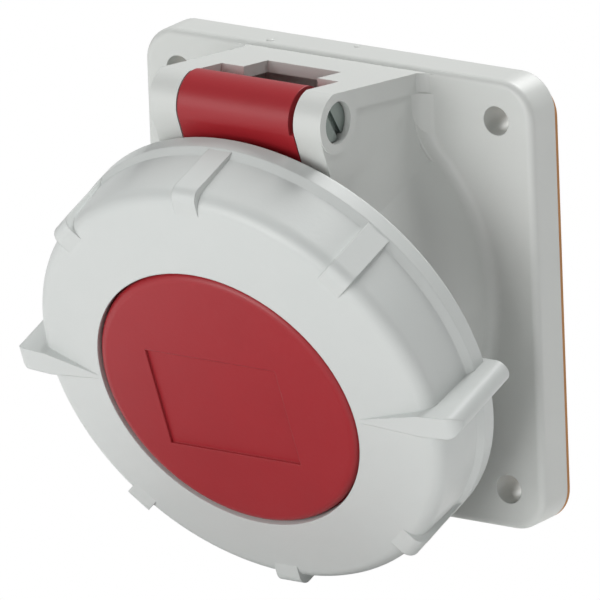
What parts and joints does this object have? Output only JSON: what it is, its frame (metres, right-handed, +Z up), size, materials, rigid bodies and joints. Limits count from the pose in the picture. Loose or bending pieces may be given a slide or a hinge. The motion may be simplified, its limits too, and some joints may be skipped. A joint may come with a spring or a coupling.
{
  "type": "panel socket",
  "caption": "Square-flanged angled industrial panel socket with a sprung hinged lid, a bayonet locking ring, and sleeve contacts behind it.",
  "frame": {"origin": "centre of the four fixing holes, on the gasket's back face", "axes": "-Y out of the panel towards the plug, +Z up, +X to the right seen from the front"},
  "size_m": [0.114, 0.0995, 0.1145],
  "materials": {
    "grey": "satin light grey moulding",
    "red": "satin signal red moulding",
    "gasket": "matt orange-brown cellular rubber",
    "seal": "matt black rubber",
    "steel": "zinc-plated steel",
    "insulator": "dark glass-filled insulator",
    "brass": "bright turned brass",
    "clip": "dark grey springy moulding"
  },
  "bodies": {
    "socket": {"flange": "grey", "collar": "grey", "carrier_seat": "grey", "hinge_bracket": "grey", "flange_gasket": "gasket", "hinge_pin": "steel", "hinge_spring": "steel", "contact_carrier": "insulator", "retaining_ring": "insulator", "terminal_block": "insulator", "earth_sleeve": "brass", "phase_sleeve_1": "brass", "phase_sleeve_2": "brass", "phase_sleeve_3": "brass", "neutral_sleeve": "brass", "earth_terminal": "brass", "phase_terminal_1": "brass", "phase_terminal_2": "brass", "phase_terminal_3": "brass", "neutral_terminal": "brass", "terminal_screw_1": "steel", "terminal_screw_2": "steel", "terminal_screw_3": "steel", "terminal_screw_4": "steel", "terminal_screw_5": "steel", "carrier_screw_1": "steel", "carrier_screw_2": "steel", "carrier_screw_3": "steel"},
    "lid": {"lid": "red", "lid_seal": "seal"},
    "ring": {"lid_ring": "grey", "ring_clip": "clip"}
  },
  "joints": [
    {"name": "lid_hinge", "type": "hinge", "parent": "socket", "child": "lid", "pos_m": [0, -0.04154, 0.04629], "axis": [-1, 0, 0], "range_deg": [0, 120], "stiffness_Nm_per_rad": 0.02, "springref_deg": -34.38},
    {"name": "ring_turn", "type": "hinge", "parent": "lid", "child": "ring", "pos_m": [0, -0.04309, -0.01057], "axis": [0, 0.9397, 0.342], "range_deg": [0, 30]}
  ]
}
